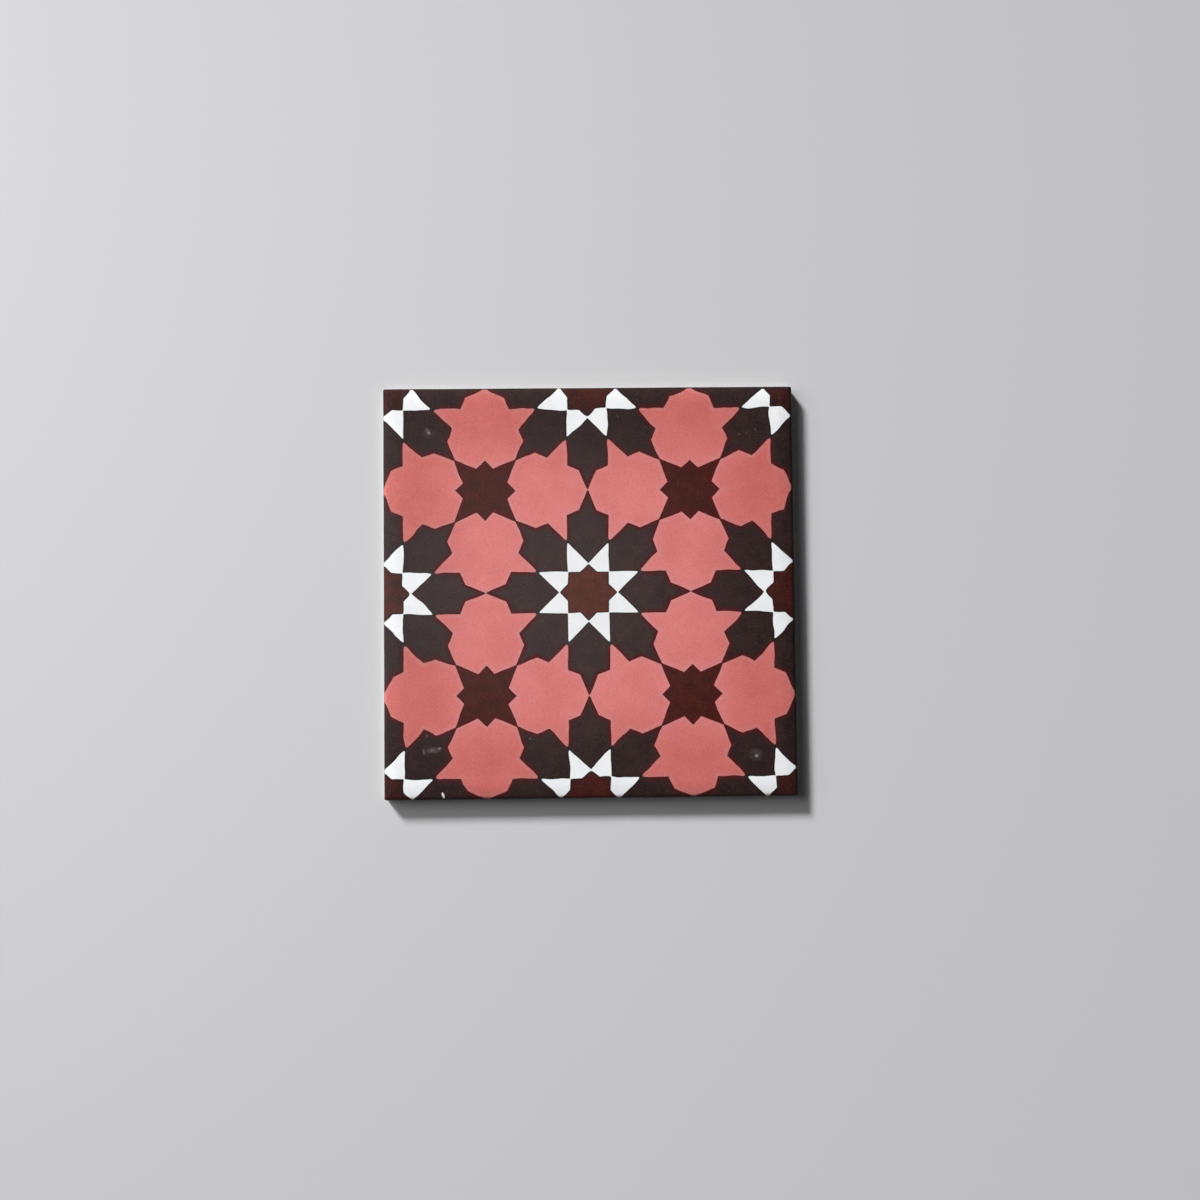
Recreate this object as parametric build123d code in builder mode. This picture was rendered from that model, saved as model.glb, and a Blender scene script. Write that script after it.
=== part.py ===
"""A square patterned floor tile, dry-pressed and fired as one piece of clay.

The face is flat with a cushioned edge on all four sides, the sides are upright above a drafted skirt,
and the back is keyed with a grid of shallow cells that the bedding mortar grips.
The origin is in the middle of the bedding back, +Z points out of the face, and lengths are millimetres.
"""

import os
from math import asin, cos, degrees, radians, tan

from build123d import *

# Plan and thickness
tile_side = 200.0
tile_thickness = 9.0
corner_radius = 0.8  # upright corners, seen from above

# Cushioned edge: a shallow arc off the flat face, then a tighter arris down to the side
cushion_width = 8.0
cushion_radius = 42.0
arris_radius = 2.0

# Sides: upright at the top, then a skirt with the draft that lets the tile leave its die
skirt_height = 2.5
skirt_draft = 5.0
back_bevel = 0.6

# Keyed back: square cells between ribs, inside a plain border; an even count leaves a rib in the middle
back_border = 10.0
cells_a_side = 14
rib_width = 2.5
cell_depth = 0.7
cell_draft = 20.0

# The arris arc sits inside the cushion arc, tangent to it and to the upright side
half_side = tile_side / 2
cushion_lean = degrees(asin((cushion_width - arris_radius) / (cushion_radius - arris_radius)))
cushion_z = tile_thickness - cushion_radius
arris_z = cushion_z + (cushion_radius - arris_radius) * cos(radians(cushion_lean))

# The skirt leans in to the bevel around the back
skirt_inset = (skirt_height - back_bevel) * tan(radians(skirt_draft))
half_back = half_side - skirt_inset - back_bevel

# The cells and ribs fill the back inside its border
cell_pitch = (2 * (half_back - back_border) + rib_width) / cells_a_side
cell_side = cell_pitch - rib_width

with BuildPart() as tile:
    # One section of the tile, drawn from its middle to its side and mirrored
    with BuildSketch(Plane.XZ) as section:
        with BuildLine():
            Line((0, tile_thickness), (half_side - cushion_width, tile_thickness))
            CenterArc(
                (half_side - cushion_width, cushion_z), cushion_radius, 90 - cushion_lean, cushion_lean
            )
            CenterArc((half_side - arris_radius, arris_z), arris_radius, 0, 90 - cushion_lean)
            Polyline(
                (half_side, arris_z),
                (half_side, skirt_height),
                (half_side - skirt_inset, back_bevel),
                (half_back, 0),
                (0, 0),
            )
            mirror(about=Plane.YZ)
        make_face()
    extrude(amount=half_side, both=True)

    # The same section the other way leaves four mitred, cushioned sides
    with BuildSketch(Plane.YZ):
        add(section.sketch_local)
    extrude(amount=half_side, both=True, mode=Mode.INTERSECT)

    # The upright corners are eased by a small radius
    with BuildSketch():
        RectangleRounded(tile_side, tile_side, corner_radius)
    extrude(amount=tile_thickness, mode=Mode.INTERSECT)

    # Cells pressed into the back, narrowing upwards as the die leaves them
    with BuildSketch():
        with GridLocations(cell_pitch, cell_pitch, cells_a_side, cells_a_side):
            Rectangle(cell_side, cell_side)
    extrude(amount=cell_depth, taper=cell_draft, mode=Mode.SUBTRACT)

tile.part.label = "tile"

os.makedirs("parts", exist_ok=True)
export_step(tile.part, "parts/tile.step")
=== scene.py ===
"""A square patterned floor tile lying face up on a plain pale floor.

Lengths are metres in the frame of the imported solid: the origin is in the middle of the bedding back and
+Z points out of the face. The printed pattern is worked out in millimetres inside its material.
"""

from math import asin, cos, pi, radians, sin, sqrt, tan

import bmesh
import bpy
from mathutils import Euler, Matrix, Vector, noise


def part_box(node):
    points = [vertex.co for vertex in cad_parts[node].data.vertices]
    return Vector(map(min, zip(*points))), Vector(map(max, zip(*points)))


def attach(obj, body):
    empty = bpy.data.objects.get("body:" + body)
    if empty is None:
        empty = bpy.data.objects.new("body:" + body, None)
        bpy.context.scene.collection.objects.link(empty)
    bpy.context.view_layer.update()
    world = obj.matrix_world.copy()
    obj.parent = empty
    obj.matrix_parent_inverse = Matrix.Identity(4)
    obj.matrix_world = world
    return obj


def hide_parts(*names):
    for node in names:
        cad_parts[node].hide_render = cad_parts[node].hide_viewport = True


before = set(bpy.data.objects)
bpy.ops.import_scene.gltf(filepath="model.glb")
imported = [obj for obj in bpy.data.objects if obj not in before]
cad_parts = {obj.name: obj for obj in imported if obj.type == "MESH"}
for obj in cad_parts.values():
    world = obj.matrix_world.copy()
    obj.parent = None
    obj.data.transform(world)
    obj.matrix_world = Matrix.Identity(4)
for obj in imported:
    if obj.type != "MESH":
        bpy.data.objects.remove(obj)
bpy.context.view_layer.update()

# The tile is one square of pale clay, pressed dry in a steel die, printed and glazed on its face and fired.
# Its face rolls over a wide cushion and a tight arris to upright sides, a drafted skirt and a keyed back.
# Nothing is fixed to it: it lies loose on the ribs of its back.
tile_low, tile_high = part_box("tile")
half_side = tile_high.x
face_height = tile_high.z

cushion_width = 0.008
cushion_radius = 0.042
arris_radius = 0.002
corner_radius = 0.0008
skirt_height = 0.0025
skirt_draft = radians(5)
back_bevel = 0.0006
back_border = 0.010
cells_a_side = 14
rib_width = 0.0025
cell_depth = 0.0007
cell_draft = radians(20)

# The cushion arc leaves the flat face level, and the arris arc takes over from it inside
half_flat = half_side - cushion_width
cushion_lean = asin((cushion_width - arris_radius) / (cushion_radius - arris_radius))
arris_height = face_height - cushion_radius + (cushion_radius - arris_radius) * cos(cushion_lean)
half_skirt = half_side - (skirt_height - back_bevel) * tan(skirt_draft)
half_back = half_skirt - back_bevel
half_keyed = half_back - back_border + rib_width / 2

# The section from the flat face out and down to the back, as (reach from the middle, height)
cushion_steps = 8
arris_steps = 7
side_steps = 4
section = []
for step in range(1, cushion_steps + 1):
    turn = cushion_lean * step / cushion_steps
    section.append(
        (half_flat + cushion_radius * sin(turn), face_height - cushion_radius * (1 - cos(turn)))
    )
for step in range(1, arris_steps + 1):
    turn = cushion_lean + (pi / 2 - cushion_lean) * step / arris_steps
    section.append(
        (half_side - arris_radius * (1 - sin(turn)), arris_height + arris_radius * cos(turn))
    )
for step in range(1, side_steps + 1):
    section.append((half_side, arris_height + (skirt_height - arris_height) * step / side_steps))
section.append((half_skirt, back_bevel))
section.append((half_back, 0.0))

# The flat face is a fine grid, finer in its outer rows so that the corners come out round
face_squares = 80
outer_cuts = 4
outer_square = 2 * half_flat / face_squares
tile_mesh = bmesh.new()
bmesh.ops.create_grid(
    tile_mesh,
    x_segments=face_squares,
    y_segments=face_squares,
    size=half_flat,
    matrix=Matrix.Translation((0, 0, face_height)),
)
outer_edges = [
    edge
    for edge in tile_mesh.edges
    if any(
        sorted(round(abs(end.co[axis]) / outer_square) for end in edge.verts)
        == [face_squares // 2 - 1, face_squares // 2]
        for axis in (0, 1)
    )
]
bmesh.ops.subdivide_edges(tile_mesh, edges=outer_edges, cuts=outer_cuts, use_grid_fill=True)

# The rim of the face is drawn outwards along the section
rim = [edge for edge in tile_mesh.edges if edge.is_boundary]
reach, height = half_flat, face_height
for next_reach, next_height in section:
    drawn = bmesh.ops.extrude_edge_only(tile_mesh, edges=rim)["geom"]
    ring = [part for part in drawn if isinstance(part, bmesh.types.BMVert)]
    rim = [part for part in drawn if isinstance(part, bmesh.types.BMEdge) and part.is_boundary]
    bmesh.ops.scale(tile_mesh, verts=ring, vec=(next_reach / reach, next_reach / reach, 1))
    bmesh.ops.translate(tile_mesh, verts=ring, vec=(0, 0, next_height - height))
    reach, height = next_reach, next_height

# The cells of the back are inset between their ribs and pressed in, and a plain border joins them to the rim
faces_so_far = len(tile_mesh.faces)
bmesh.ops.create_grid(
    tile_mesh,
    x_segments=cells_a_side,
    y_segments=cells_a_side,
    size=half_keyed,
    matrix=Matrix.Rotation(pi, 4, "X"),
)
tile_mesh.normal_update()
tile_mesh.faces.ensure_lookup_table()
cells = tile_mesh.faces[faces_so_far:]
bmesh.ops.bridge_loops(tile_mesh, edges=[edge for edge in tile_mesh.edges if edge.is_boundary])
bmesh.ops.inset_individual(tile_mesh, faces=cells, thickness=rib_width / 2, use_even_offset=True)
bmesh.ops.inset_individual(
    tile_mesh, faces=cells, thickness=cell_depth * tan(cell_draft), depth=-cell_depth, use_even_offset=True
)
bmesh.ops.recalc_face_normals(tile_mesh, faces=tile_mesh.faces)

# The upright corners are eased to their radius, and the mitres above them are rubbed soft
corner_middle = half_side - corner_radius
rubbed_width = 0.004
rubs = 3
rub_strength = 0.5
for vert in tile_mesh.verts:
    out = Vector((abs(vert.co.x) - corner_middle, abs(vert.co.y) - corner_middle))
    if min(out) > 0 and out.length > corner_radius:
        out *= corner_radius / out.length
        vert.co.x = (corner_middle + out.x) * (1 if vert.co.x > 0 else -1)
        vert.co.y = (corner_middle + out.y) * (1 if vert.co.y > 0 else -1)
rubbed = [
    vert
    for vert in tile_mesh.verts
    if min(abs(vert.co.x), abs(vert.co.y)) > half_side - rubbed_width and vert.co.z > arris_height
]
for rub in range(rubs):
    bmesh.ops.smooth_vert(
        tile_mesh, verts=rubbed, factor=rub_strength, use_axis_x=True, use_axis_y=True, use_axis_z=True
    )

# Pressing and firing leave the face and the upper sides a little uneven, and the back stays flat
uneven_by = 0.00012
uneven_length = 0.024
uneven_seed = 11
noise.seed_set(uneven_seed)
for vert in tile_mesh.verts:
    lift = (max(vert.co.z, 0) / face_height) ** 2
    vert.co += noise.noise_vector(vert.co / uneven_length) * uneven_by * lift
tile_mesh.normal_update()

# The glaze is kept on a map of the face and sides spread flat, with the back in a strip beside them
side_spread = 1.5
face_share = 0.80
back_strip = 0.18
strip_gap = 0.01
facing_down = -0.8
hair = 1e-6
half_spread = half_side + side_spread * face_height
glaze_map = tile_mesh.loops.layers.uv.new("OFBake")
for face in tile_mesh.faces:
    face.smooth = True
    for corner in face.loops:
        place = corner.vert.co
        if face.normal.z < facing_down:
            across_map = face_share + strip_gap + back_strip * (0.5 + place.x / (2 * half_side))
            up_map = 0.5 + place.y / (2 * half_spread)
        else:
            from_middle = max(abs(place.x), abs(place.y), hair)
            spread = 1 + side_spread * max(face_height - place.z, 0) / from_middle
            across_map = face_share * (0.5 + spread * place.x / (2 * half_spread))
            up_map = face_share * (0.5 + spread * place.y / (2 * half_spread))
        corner[glaze_map].uv = (across_map, up_map)

sharp_from = radians(35)
tile_data = bpy.data.meshes.new("glazed_tile")
tile_mesh.to_mesh(tile_data)
tile_mesh.free()
tile_data.set_sharp_from_angle(angle=sharp_from)
glazed_tile = bpy.data.objects.new("glazed_tile", tile_data)
bpy.context.collection.objects.link(glazed_tile)

# The glaze is a thin coat fired onto the face and the upper sides. A star pattern is printed in it in five
# inks, one screen after another, so each ink is a little cloudy and its lines are a little uneven.
# Lengths from here to the end of the glaze are millimetres.
glaze = bpy.data.materials.new("printed_glaze")
glaze.use_nodes = True
glaze_nodes = glaze.node_tree.nodes
glaze_shader = glaze_nodes["Principled BSDF"]


def colour(red, green, blue):
    """A colour as it is read off a screen, 0 to 255, made linear for the shader."""
    linear = []
    for level in (red, green, blue):
        if level > 10:
            linear.append(((level / 255 + 0.055) / 1.055) ** 2.4)
        else:
            linear.append(level / 3295)
    return linear + [1]


def feed(socket, source):
    """Links an output to a socket, or writes a plain value on it."""
    if isinstance(source, bpy.types.NodeSocket):
        glaze.node_tree.links.new(source, socket)
    else:
        socket.default_value = source


def reckon(operation, *terms):
    """A Math node's result."""
    node = glaze_nodes.new("ShaderNodeMath")
    node.operation = operation
    for socket, term in zip(node.inputs, terms):
        feed(socket, term)
    return node.outputs["Value"]


def plus(first, second):
    return reckon("ADD", first, second)


def minus(first, second):
    return reckon("SUBTRACT", first, second)


def times(first, second):
    return reckon("MULTIPLY", first, second)


def least(first, second):
    return reckon("MINIMUM", first, second)


def most(first, second):
    return reckon("MAXIMUM", first, second)


def reckon_place(operation, *terms):
    """A Vector Math node's result: a place, or a plain number for a length."""
    node = glaze_nodes.new("ShaderNodeVectorMath")
    node.operation = operation
    for socket, term in zip(node.inputs, terms):
        feed(socket, term)
    return node.outputs["Value" if operation == "LENGTH" else "Vector"]


def axes(place):
    """The outputs of a place: X across the tile, Y up it and Z above the floor."""
    node = glaze_nodes.new("ShaderNodeSeparateXYZ")
    feed(node.inputs["Vector"], place)
    return node.outputs


def fade(value, start, end):
    """0 before start and 1 after end, with a smooth run between them."""
    node = glaze_nodes.new("ShaderNodeMapRange")
    node.interpolation_type = "SMOOTHSTEP"
    feed(node.inputs["Value"], value)
    node.inputs["From Min"].default_value = start
    node.inputs["From Max"].default_value = end
    return node.outputs["Result"]


def cloud(size, detail, at, output="Fac"):
    """Noise from 0 to 1 with lumps of that size; at picks another part of it."""
    node = glaze_nodes.new("ShaderNodeTexNoise")
    feed(node.inputs["Vector"], reckon_place("ADD", tile_place, (at, at, 0)))
    node.inputs["Scale"].default_value = 1 / size
    node.inputs["Detail"].default_value = detail
    return node.outputs[output]


def patches(size, detail, at):
    """Noise drawn out into patches of 0 and of 1 with soft borders."""
    return fade(cloud(size, detail, at), 0.3, 0.7)


def paint(under, over, cover):
    """One colour laid over another where cover is 1."""
    node = glaze_nodes.new("ShaderNodeMix")
    node.data_type = "RGBA"
    feed(node.inputs["Factor"], cover)
    feed(node.inputs["A"], under)
    feed(node.inputs["B"], over)
    return node.outputs["Result"]


def mottle(light, dark, size, at):
    """One ink with lighter and darker clouds in it."""
    return paint(dark, light, patches(size, detail=4.0, at=at))


# Places on the tile, and how far out towards the edge and into a corner each one lies
mm_in_metre = 1000
tile_to_mm = glaze_nodes.new("ShaderNodeMapping")
feed(tile_to_mm.inputs["Vector"], glaze_nodes.new("ShaderNodeTexCoord").outputs["Object"])
tile_to_mm.inputs["Scale"].default_value = (mm_in_metre, mm_in_metre, mm_in_metre)
tile_place = tile_to_mm.outputs["Vector"]
tile_axes = axes(tile_place)
across_middle = reckon("ABSOLUTE", tile_axes["X"])
up_middle = reckon("ABSOLUTE", tile_axes["Y"])
outer = fade(most(across_middle, up_middle), start=50.0, end=85.0)
# How far into a corner: it sets where the brown is painted darker as shade.
corner_shade = fade(least(across_middle, up_middle), start=70.0, end=92.0)


def towards_edge(inner, at_edge):
    """A value that changes from the inner repeats to the edge of the tile."""
    return plus(times(outer, at_edge - inner), inner)


# The screen lies a little off the middle of the tile, and its lines wander, more so in the outer repeats
print_shift = (0.56, 0.36, 0.0)
line_wander = towards_edge(inner=1.1, at_edge=3.0)
wander_noise = cloud(size=12.0, detail=1.5, at=40.0, output="Color")
wander_both_ways = reckon_place("MULTIPLY_ADD", wander_noise, (1, 1, 0), (-0.5, -0.5, 0))
screen_wander = reckon_place("MULTIPLY", wander_both_ways, line_wander)
print_place = reckon_place("ADD", reckon_place("ADD", tile_place, print_shift), screen_wander)
print_axes = axes(print_place)

# The pattern is two repeats each way. Folding brings every place into one eighth of a repeat: far is the
# longer way from the middle of a star, near the shorter, and the slant pair is the same turned by 45 degrees.
repeat = 99.75
star_half = 9.92
root_two = sqrt(2)
half_angle = radians(22.5)
fold_across = reckon("PINGPONG", print_axes["X"], repeat / 2)
fold_up = reckon("PINGPONG", print_axes["Y"], repeat / 2)
far = most(fold_across, fold_up)
near = least(fold_across, fold_up)
far_slant = times(plus(far, near), 1 / root_two)
near_slant = times(minus(far, near), 1 / root_two)


def rounded(length, round_over):
    """A length from a fold line, rounded off where the tip of a shape lies on the line."""
    return reckon("SMOOTH_MAX", length, times(length, -1), round_over)


near_tip = rounded(near, towards_edge(inner=1.8, at_edge=4.4))
near_slant_tip = rounded(near_slant, towards_edge(inner=1.1, at_edge=1.9))

# Each shape is a distance, above 0 inside it. A star is two squares, one turned by 45 degrees.
notch_round = 0.5
star_grown = 0.2
turned_square = minus(star_half, times(plus(far, near_tip), 1 / root_two))
upright_square = minus(star_half, times(plus(far_slant, near_slant_tip), 1 / root_two))
star = plus(reckon("SMOOTH_MAX", turned_square, upright_square, notch_round), star_grown)

# Eight kites stand around the star
kite_round = towards_edge(inner=1.4, at_edge=1.8)
kite_side = reckon("SMOOTH_MIN", minus(star_half, near), minus(star_half, near_slant), kite_round)
kite = least(kite_side, times(star, -1))


def petal(along, beside, beside_tip):
    """A pointed petal outside the kites, cut off by the octagon that stands at the edge of the repeat."""
    octagon = root_two * star_half
    cuts = []
    for edge_turn in (5 * half_angle, 7 * half_angle):
        sideways = times(minus(along, repeat / 2), cos(edge_turn))
        upwards = times(minus(beside_tip, octagon), -sin(edge_turn))
        cuts.append(minus(plus(sideways, upwards), octagon * cos(half_angle)))
    inner_end = minus(times(minus(along, beside_tip), 1 / root_two), star_half)
    return least(least(inner_end, minus(star_half, beside)), most(cuts[0], cuts[1]))


# Neighbouring petals run together a little where their corners meet
petal_join = 2.6
petal_grown = 0.2
upright_petal = petal(far, near, near_tip)
slant_petal = petal(far_slant, near_slant, near_slant_tip)
petals = plus(reckon("SMOOTH_MAX", upright_petal, slant_petal, petal_join), petal_grown)

# A four-armed cross stands where four repeats meet, with a small turned square in its middle
cross_grown = 0.5
arm_reach = repeat / 2 * (1 - 1 / root_two)
cross_square = root_two * star_half
from_cross_far = minus(repeat / 2, far)
from_cross_near = minus(repeat / 2, near)
slope = tan(half_angle)
arm_along = times(minus(times(far_slant, 1 / root_two), repeat / 2 - arm_reach), 1 - slope)
arm_side = times(minus(arm_along, times(near_slant_tip, (1 + slope) / root_two)), cos(half_angle))
arm = least(arm_side, minus(arm_reach, from_cross_far))
cross_middle = times(minus(cross_square, plus(from_cross_far, from_cross_near)), 1 / root_two)
cross = plus(most(arm, cross_middle), cross_grown)

# Inks, each a little cloudy. All but the white and the maroon are painted darker in the pieces that the edge
# cuts, and the brown darker again in the corners: painted shade where the sheen and the light fall off
# towards the edge.
coral = mottle(colour(226, 130, 127), colour(218, 121, 117), size=14.0, at=0.0)
coral_painted_shade_at_edge = mottle(colour(210, 112, 107), colour(202, 104, 98), size=14.0, at=30.0)
coral = paint(coral, coral_painted_shade_at_edge, outer)
charcoal = mottle(colour(51, 31, 30), colour(38, 21, 20), size=6.0, at=60.0)
charcoal_painted_shade_at_edge = mottle(colour(45, 27, 26), colour(33, 18, 17), size=6.0, at=90.0)
charcoal = paint(charcoal, charcoal_painted_shade_at_edge, outer)
brown = mottle(colour(86, 30, 11), colour(71, 21, 5), size=4.5, at=120.0)
brown_painted_shade_at_edge = mottle(colour(69, 21, 11), colour(49, 12, 7), size=6.0, at=150.0)
brown = paint(brown, brown_painted_shade_at_edge, outer)
# Painted shade: the brown is darker again in the corners.
brown_painted_shade_in_corner = mottle(colour(56, 17, 12), colour(38, 11, 8), size=5.0, at=210.0)
brown = paint(brown, brown_painted_shade_in_corner, corner_shade)
maroon = mottle(colour(69, 20, 10), colour(56, 14, 6), size=5.0, at=180.0)
white = mottle(colour(247, 249, 251), colour(241, 243, 244), size=9.0, at=240.0)

# The coral is printed first and is chalkier along its rim, in uneven patches; the chalk is painted darker
# towards the edge as painted shade.
rim_width = 2.6
rim_full = 0.4
rim_strength = 0.75
least_laid = 0.2
dark = most(most(petals, cross), star)
uneven_laid = plus(times(patches(size=2.2, detail=3.0, at=510.0), 1 - least_laid), least_laid)
coral_rim = times(fade(dark, -rim_width, -rim_full), times(uneven_laid, rim_strength))
rim_chalk_shaded_at_edge = paint(colour(213, 143, 143), colour(199, 127, 125), outer)
printed = paint(coral, rim_chalk_shaded_at_edge, coral_rim)

# The dark inks lie over the coral, with a red edge that stays clear of the kites
ink_edge = 0.12
red_width = 2.6
red_full = 0.5
kites_clear = 1.2
kites_well_clear = 3.0
red_ink = colour(72, 9, 8)
cross_laid = fade(cross, -ink_edge, ink_edge)
dark_inks = paint(charcoal, maroon, cross_laid)
dark_inks = paint(dark_inks, brown, fade(star, -ink_edge, ink_edge))
red_edge = times(fade(dark, red_width, red_full), fade(kite_side, -kites_clear, -kites_well_clear))
red_edge = times(red_edge, towards_edge(inner=1.0, at_edge=0.75))
dark_inks = paint(dark_inks, red_ink, red_edge)
dark_laid = fade(dark, -ink_edge, ink_edge)
printed = paint(printed, dark_inks, dark_laid)

# The white is laid on last, thick, inside a dark line where it pushes the other inks aside
white_grown = 0.15
line_width = 1.1
line_full = 0.45
line_strength = 0.8
line_ink = colour(14, 8, 8)
white_line = times(fade(kite, -line_width, -line_full), line_strength)
printed = paint(printed, line_ink, white_line)
white_laid = fade(kite, -white_grown - ink_edge, -white_grown + ink_edge)
printed = paint(printed, white, white_laid)

# The screen ends at its outer repeats, and past it the rim and the sides are a bare glaze, painted darker
# than the charcoal as painted shade on the arris all round
screen_fades = 0.35
screen_ends = 0.05
rim_top = 7.8
rim_foot = 7.0
side_glaze_and_rim_shade = mottle(colour(26, 14, 13), colour(17, 9, 8), size=6.0, at=270.0)
past_print = most(reckon("ABSOLUTE", print_axes["X"]), reckon("ABSOLUTE", print_axes["Y"]))
off_screen_and_rim_shade = most(
    fade(minus(past_print, repeat), -screen_fades, -screen_ends),
    fade(tile_axes["Z"], rim_top, rim_foot),
)
printed = paint(printed, side_glaze_and_rim_shade, off_screen_and_rim_shade)

# Fine dark and pale grain in every ink, least in the white
grain_strength = 0.10
spared_in_white = 0.06
speckle_share = 0.7
pale_strength = 0.03
pale_more_in_coral = 0.07
dark_grain = colour(24, 12, 11)
pale_grain = colour(235, 222, 218)
grain = cloud(size=0.7, detail=2.0, at=300.0)
speckle = cloud(size=1.6, detail=3.0, at=330.0)
grain_depth = minus(grain_strength, times(white_laid, spared_in_white))
printed = paint(printed, dark_grain, times(fade(grain, start=0.52, end=0.72), grain_depth))
speckle_depth = times(grain_depth, speckle_share)
printed = paint(printed, dark_grain, times(fade(speckle, start=0.50, end=0.75), speckle_depth))
bare_coral = minus(1.0, most(dark_laid, white_laid))
pale_depth = plus(times(bare_coral, pale_more_in_coral), pale_strength)
printed = paint(printed, pale_grain, times(fade(grain, start=0.46, end=0.26), pale_depth))


def mark(across, up, length, width, turn):
    """How far a place lies from the middle of an oval mark: 0 in the middle and 1 on its rim."""
    to_mark = glaze_nodes.new("ShaderNodeMapping")
    to_mark.vector_type = "TEXTURE"
    feed(to_mark.inputs["Vector"], tile_place)
    to_mark.inputs["Location"].default_value = (across, up, 0)
    to_mark.inputs["Rotation"].default_value = (0, 0, radians(turn))
    to_mark.inputs["Scale"].default_value = (length / 2, width / 2, mm_in_metre)
    return reckon_place("LENGTH", to_mark.outputs["Vector"])


def soft_mark(*oval):
    """1 in the middle of an oval mark, fading to 0 on its rim."""
    return fade(mark(*oval), start=1.0, end=0.2)


# A pale film over the inks left of the middle is partly wear and partly painted sheen, the glaze's reflection
# of the bright left laid into the colour; less of it on red edges and crosses.
# An oval is (across, up, length, width, turn).
dust_and_sheen = colour(205, 198, 194)
sheen_film_oval = (-34.0, 4.0, 250.0, 224.0, 0)
sheen_film_strength = 0.037
kept_off_red = 0.55
kept_off_cross = 0.4
kept_off = most(times(red_edge, kept_off_red), times(cross_laid, kept_off_cross))
film_and_painted_sheen = times(soft_mark(*sheen_film_oval), times(minus(1.0, kept_off), sheen_film_strength))
# Painted sheen, partly a real film of wear: the pale film is laid left of the middle.
printed = paint(printed, dust_and_sheen, film_and_painted_sheen)

# Chalky scuffs and hair scratches in the dark inks, each an oval and its strength
scuffs = (
    (-77.9, 78.7, 5.0, 2.6, 115, 0.34),
    (-77.4, 77.6, 9.0, 6.0, 0, 0.05),
    (81.8, 78.3, 4.0, 0.6, 110, 0.12),
    (74.0, 76.2, 1.8, 1.4, 0, 0.12),
    (77.4, 76.8, 1.4, 1.2, 0, 0.08),
    (-76.0, -76.0, 11.0, 4.2, 6, 0.11),
    (-76.8, -76.2, 4.0, 1.6, 8, 0.20),
    (-73.4, -75.4, 3.2, 2.0, 25, 0.30),
    (-80.8, -76.8, 4.2, 1.4, 100, 0.20),
    (-79.3, -69.1, 2.4, 1.6, 80, 0.12),
    (80.0, -80.4, 2.6, 2.2, 0, 0.50),
    (79.6, -79.8, 9.0, 8.0, 0, 0.07),
    (14.3, 85.7, 3.6, 0.5, 105, 0.12),
    (-29.5, -71.0, 1.3, 1.0, 0, 0.22),
    (-28.0, -71.0, 0.9, 0.8, 0, 0.12),
)
scuff_break = fade(cloud(size=1.6, detail=3.0, at=540.0), start=0.15, end=0.7)
scuffed = 0.0
for *oval, strength in scuffs:
    scuffed = most(scuffed, times(soft_mark(*oval), strength))
printed = paint(printed, dust_and_sheen, times(scuffed, scuff_break))

# One chip in the front edge shows the clay under the glaze
chip_oval = (-71.6, -97.7, 3.3, 1.2, 108)
chip_ragged_by = 0.7
broken_clay = colour(238, 230, 223)
chip_ragged = times(minus(cloud(size=0.8, detail=2.0, at=600.0), 0.5), chip_ragged_by)
chip = fade(plus(mark(*chip_oval), chip_ragged), start=1.05, end=0.85)
printed = paint(printed, broken_clay, chip)

# The glaze runs down the upright sides and out above the skirt in an uneven line, and the fired clay shows
glaze_end = 3.0
glaze_wander = 0.7
glaze_edge = 0.1
clay = mottle(colour(218, 208, 197), colour(204, 193, 180), size=3.0, at=360.0)
run_down = times(cloud(size=5.0, detail=3.0, at=420.0), glaze_wander)
glaze_line = plus(run_down, glaze_end - glaze_wander / 2)
glazed = fade(minus(tile_axes["Z"], glaze_line), -glaze_edge, glaze_edge)
feed(glaze_shader.inputs["Base Color"], paint(clay, printed, glazed))

# The glaze is matt with a slight satin, duller where it is scuffed, and the clay is dull
clay_roughness = 0.85
satin_roughness = 0.54
roughness_varies = 0.16
scuffs_roughen = 0.2
satin = 0.16
glaze_roughness = plus(times(cloud(size=4.0, detail=3.0, at=480.0), roughness_varies), satin_roughness)
glaze_roughness = plus(glaze_roughness, times(most(scuffed, chip), scuffs_roughen))
roughness = plus(times(glazed, minus(glaze_roughness, clay_roughness)), clay_roughness)
feed(glaze_shader.inputs["Roughness"], roughness)
glaze_shader.inputs["Specular IOR Level"].default_value = satin

# The white stands a hair proud of the other inks, the chip is sunk, and the pressed clay has a grain
grain_relief = 0.02
white_relief = 0.02
chip_depth = 0.15
relief_strength = 0.6
relief = plus(times(grain, grain_relief), times(fade(kite, start=-0.3, end=0.1), white_relief))
relief = minus(relief, times(chip, chip_depth))
relief_bump = glaze_nodes.new("ShaderNodeBump")
relief_bump.inputs["Distance"].default_value = 1 / mm_in_metre
relief_bump.inputs["Strength"].default_value = relief_strength
feed(relief_bump.inputs["Height"], relief)
feed(glaze_shader.inputs["Normal"], relief_bump.outputs["Normal"])

tile_data.materials.append(glaze)
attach(glazed_tile, "root")
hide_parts("tile")

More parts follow.
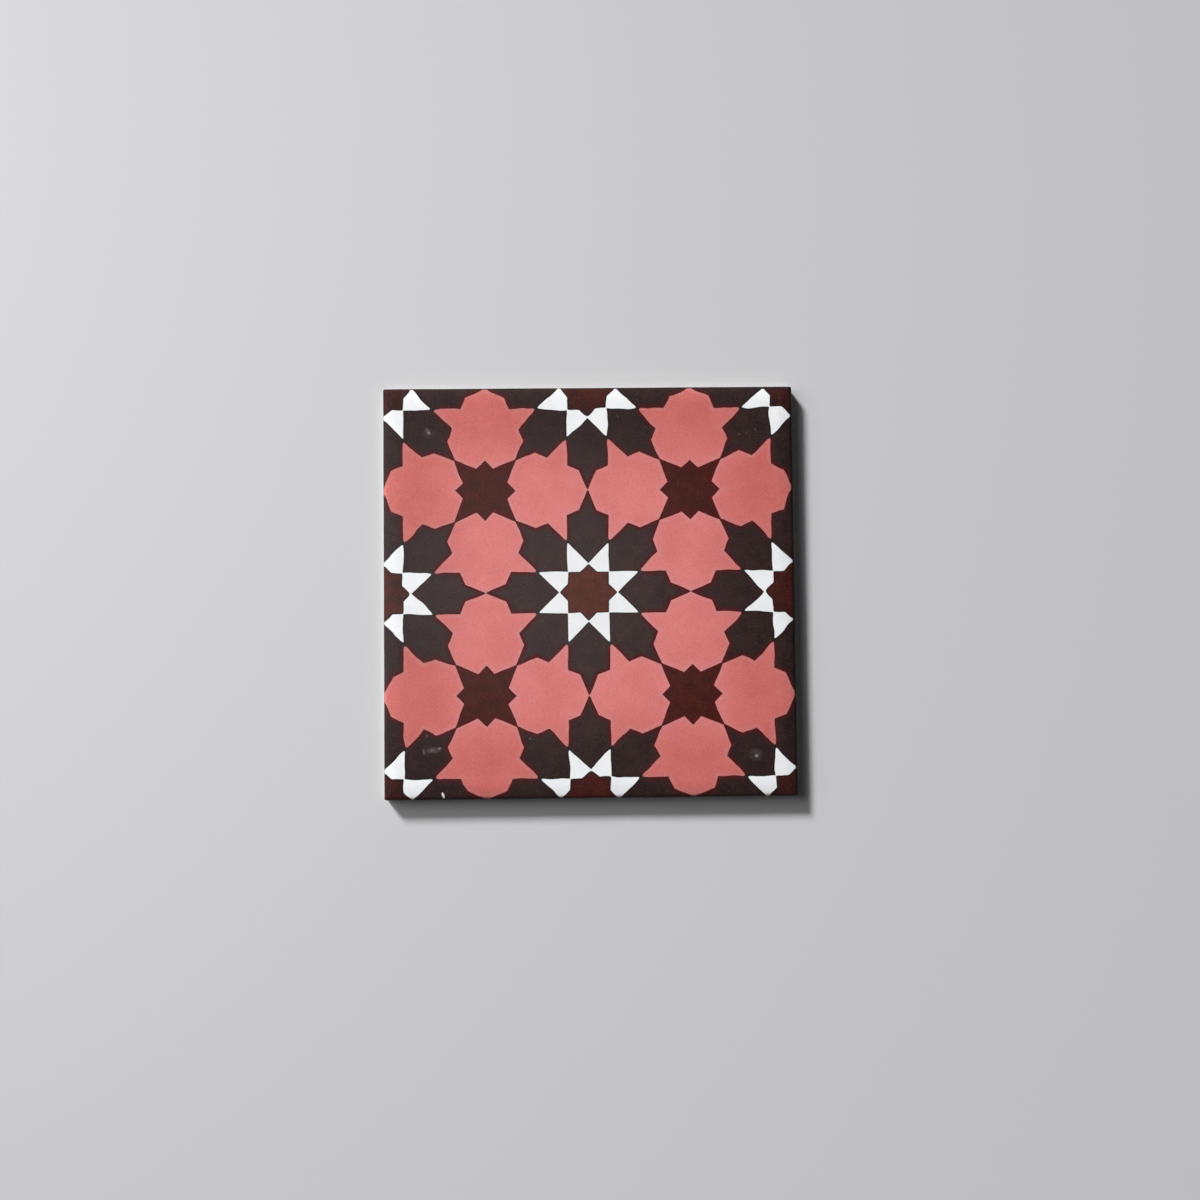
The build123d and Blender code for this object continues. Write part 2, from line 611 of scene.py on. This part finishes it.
# The floor is a plain pale screed, trowelled level and dull.
# The tile lies loose on it, so it stands a hair under the ribs of the tile's back.
half_floor = 10.0
floor_colour = colour(208, 208, 210)
floor_roughness = 0.9
floor_mesh = bmesh.new()
bmesh.ops.create_grid(floor_mesh, x_segments=1, y_segments=1, size=half_floor)
bmesh.ops.translate(floor_mesh, verts=floor_mesh.verts, vec=(0, 0, tile_low.z - hair))
floor_data = bpy.data.meshes.new("floor")
floor_mesh.to_mesh(floor_data)
floor_mesh.free()
floor = bpy.data.objects.new("floor", floor_data)
bpy.context.collection.objects.link(floor)
screed = bpy.data.materials.new("pale_screed")
screed.use_nodes = True
screed_shader = screed.node_tree.nodes["Principled BSDF"]
screed_shader.inputs["Base Color"].default_value = floor_colour
screed_shader.inputs["Roughness"].default_value = floor_roughness
screed_shader.inputs["Specular IOR Level"].default_value = 0.0
floor_data.materials.append(screed)


# The light is a broad soft lamp high up and far off behind the left, a soft panel close by on the left,
# and a faint even studio all round. The backdrop is as pale as the floor at its foot, and above that
# it is bright on the left and dark on the right, which the satin of the glaze picks up.
def hang(lamp, towards, distance):
    """Hangs a lamp in that direction from the tile, facing back at it."""
    light = bpy.data.objects.new(lamp.name, lamp)
    light.location = towards.normalized() * distance
    light.rotation_euler = towards.to_track_quat("Z", "Y").to_euler()
    bpy.context.collection.objects.link(light)


main_lamp = bpy.data.lights.new("main_lamp", "SUN")
main_lamp.energy = 4.15
main_lamp.angle = radians(11)
hang(main_lamp, Vector((-1.06, 1.40, 1.0)), distance=1.0)

side_panel = bpy.data.lights.new("side_panel", "AREA")
side_panel.shape = "DISK"
side_panel.size = 0.8
side_panel.energy = 3.2
hang(side_panel, Vector((-0.92, 0.4, 1.0)), distance=0.9)

studio = bpy.data.worlds.new("studio")
studio.use_nodes = True
studio_nodes = studio.node_tree.nodes
studio_links = studio.node_tree.links
studio_light = studio_nodes["Background"]
studio_light.inputs["Color"].default_value = (1, 1, 1, 1)
studio_light.inputs["Strength"].default_value = 0.04


def ramp(value, start, end):
    """0 before start and 1 after end, with a straight run between them."""
    node = studio_nodes.new("ShaderNodeMapRange")
    studio_links.new(value, node.inputs["Value"])
    node.inputs["From Min"].default_value = start
    node.inputs["From Max"].default_value = end
    return node.outputs["Result"]


outlook = studio_nodes.new("ShaderNodeSeparateXYZ")
studio_links.new(studio_nodes.new("ShaderNodeTexCoord").outputs["Generated"], outlook.inputs["Vector"])
ceiling = studio_nodes.new("ShaderNodeMix")
ceiling.data_type = "RGBA"
ceiling.inputs["A"].default_value = colour(250, 250, 251)
ceiling.inputs["B"].default_value = colour(3, 3, 3)
studio_links.new(ramp(outlook.outputs["X"], start=-0.15, end=0.06), ceiling.inputs["Factor"])
surround = studio_nodes.new("ShaderNodeMix")
surround.data_type = "RGBA"
surround.inputs["A"].default_value = floor_colour
studio_links.new(ceiling.outputs["Result"], surround.inputs["B"])
studio_links.new(ramp(outlook.outputs["Z"], start=0.10, end=0.24), surround.inputs["Factor"])
backdrop = studio_nodes.new("ShaderNodeBackground")
studio_links.new(surround.outputs["Result"], backdrop.inputs["Color"])
ray = studio_nodes.new("ShaderNodeLightPath")
seen = ray.outputs["Is Camera Ray"]
for kind in ("Is Glossy Ray", "Is Transmission Ray"):
    either = studio_nodes.new("ShaderNodeMath")
    either.operation = "MAXIMUM"
    studio_links.new(seen, either.inputs[0])
    studio_links.new(ray.outputs[kind], either.inputs[1])
    seen = either.outputs["Value"]
shown = studio_nodes.new("ShaderNodeMixShader")
studio_links.new(seen, shown.inputs["Fac"])
studio_links.new(studio_light.outputs["Background"], shown.inputs[1])
studio_links.new(backdrop.outputs["Background"], shown.inputs[2])
studio_links.new(shown.outputs["Shader"], studio_nodes["World Output"].inputs["Surface"])
bpy.context.scene.world = studio

# The camera hangs above the tile, a little towards the front, and looks almost straight down.
# Its place, turn and focal length were worked out from the print in the photograph.
photo_width = 1200
focal_pixels = 1700
camera_data = bpy.data.cameras.new("camera")
camera_data.sensor_fit = "HORIZONTAL"
camera_data.lens = camera_data.sensor_width * focal_pixels / photo_width
camera = bpy.data.objects.new("camera", camera_data)
camera.location = (-0.0111, -0.0490, 0.8329)
camera.rotation_euler = Euler((radians(3.122), radians(-1.084), radians(-0.594)), "XYZ")
bpy.context.collection.objects.link(camera)
bpy.context.scene.camera = camera
bpy.context.scene.view_settings.view_transform = "Standard"

bpy.context.view_layer.update()
